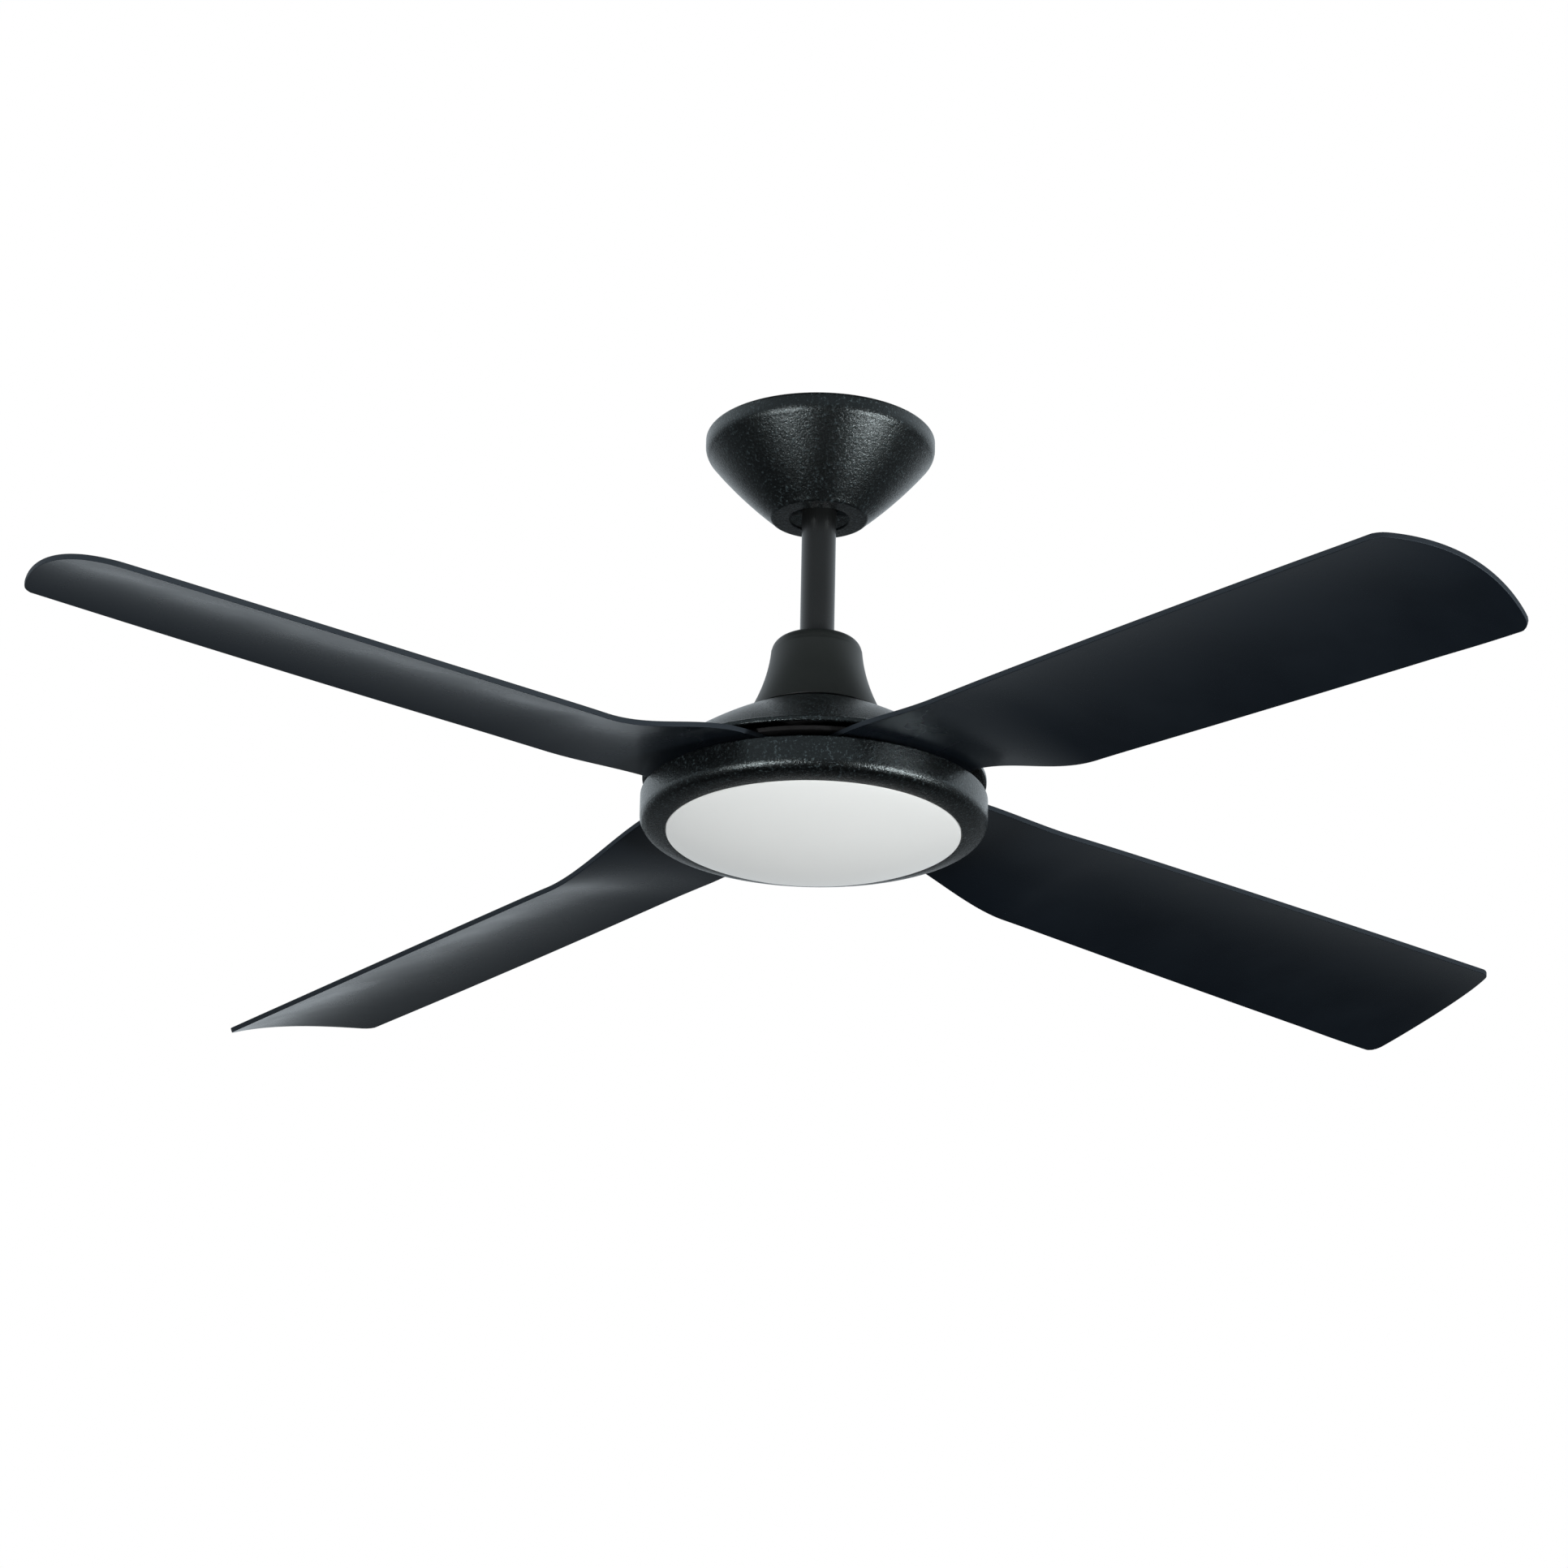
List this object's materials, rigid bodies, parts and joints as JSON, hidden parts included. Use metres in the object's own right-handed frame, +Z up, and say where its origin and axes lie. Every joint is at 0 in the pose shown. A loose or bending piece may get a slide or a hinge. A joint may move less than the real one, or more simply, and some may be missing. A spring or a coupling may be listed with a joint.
{
  "type": "ceiling fan with light",
  "caption": "Black ceiling fan on a short down rod, with twisted blades on a flat motor, a slotted hanger bracket under a bowl canopy and a round opal LED light.",
  "frame": {"origin": "centre of the hanger bracket's ceiling face, on the fan's vertical axis", "axes": "+Z up, out of the ceiling face and along the spin axis; +X along the row of slotted ceiling holes; the bracket's open side faces -Y"},
  "size_m": [1.048, 1.048, 0.333],
  "materials": {
    "zinc_plated_steel": "bright zinc plating",
    "black_powder_coat": "fine sparkling black powder coat",
    "black_screw": "black oxide",
    "ivory_plastic": "ivory nylon",
    "brass": "turned brass",
    "cable_sheath": "grey cable sheath",
    "black_nylon": "matte black nylon",
    "screw_steel": "bright machine screw",
    "rod_black": "satin black",
    "cast_iron": "sand cast, oiled",
    "spring_steel": "spring steel",
    "black_cover_plastic": "smooth matte black",
    "ground_steel": "ground bearing steel",
    "lamination_steel": "stacked laminations",
    "copper_winding": "varnished copper wire",
    "white_sheet": "white reflector paint",
    "white_board": "white solder mask",
    "led_phosphor": "yellow phosphor",
    "white_driver_case": "white moulded case",
    "green_board": "green solder mask",
    "grommet_rubber": "soft black rubber",
    "black_cast_cover": "die cast, painted black",
    "magnet_ferrite": "sintered ferrite",
    "blade_black": "satin black moulded blade",
    "opal_diffuser": "satin opal"
  },
  "bodies": {
    "ceiling_side": {"ceiling_bracket": "zinc_plated_steel", "canopy": "black_powder_coat", "canopy_screws": "black_screw", "terminal_block": "ivory_plastic", "terminal_screws": "brass", "earth_screw": "brass", "supply_leads": "cable_sheath"},
    "hanging_unit": {"hanger_ball": "black_nylon", "hanger_pin": "zinc_plated_steel", "ball_set_screw": "screw_steel", "downrod": "rod_black", "yoke": "cast_iron", "yoke_pin": "screw_steel", "pin_clip": "spring_steel", "yoke_set_screws": "screw_steel", "coupling_cover": "black_cover_plastic", "top_housing": "black_powder_coat", "housing_screws": "screw_steel", "motor_shaft": "ground_steel", "stator_core": "lamination_steel", "windings": "copper_winding", "bearing_inner_races": "ground_steel", "light_mount_plate": "zinc_plated_steel", "lock_washer": "spring_steel", "shaft_nut": "zinc_plated_steel", "plate_screws": "screw_steel", "light_ring": "black_powder_coat", "led_tray": "white_sheet", "tray_screws": "screw_steel", "led_board": "white_board", "led_chips": "led_phosphor", "led_board_screws": "screw_steel", "led_driver": "white_driver_case", "control_board": "green_board", "control_parts": "black_nylon", "board_screws": "screw_steel", "diffuser_clips": "spring_steel", "harness": "cable_sheath", "shaft_grommet": "grommet_rubber"},
    "rotor": {"rotor_cover_upper": "black_cast_cover", "rotor_cover_lower": "black_cast_cover", "rotor_steel_ring": "zinc_plated_steel", "magnets": "magnet_ferrite", "bearing_outer_races": "ground_steel", "bearing_balls": "ground_steel", "rotor_screws": "screw_steel", "blade_1": "blade_black", "blade_2": "blade_black", "blade_3": "blade_black", "blade_4": "blade_black", "blade_screws": "screw_steel", "blade_washers": "spring_steel"},
    "diffuser_unit": {"diffuser": "opal_diffuser"}
  },
  "joints": [
    {"name": "hanger_swing", "type": "hinge", "parent": "ceiling_side", "child": "hanging_unit", "pos_m": [0, 0, -0.034], "axis": [1, 0, 0], "range_deg": [-12, 12]},
    {"name": "fan_spin", "type": "hinge", "parent": "hanging_unit", "child": "rotor", "pos_m": [0, 0, -0.26], "axis": [0, 0, 1], "continuous": true},
    {"name": "diffuser_twist", "type": "hinge", "parent": "hanging_unit", "child": "diffuser_unit", "pos_m": [0, 0, -0.311], "axis": [0, 0, 1], "range_deg": [0, 20]}
  ]
}
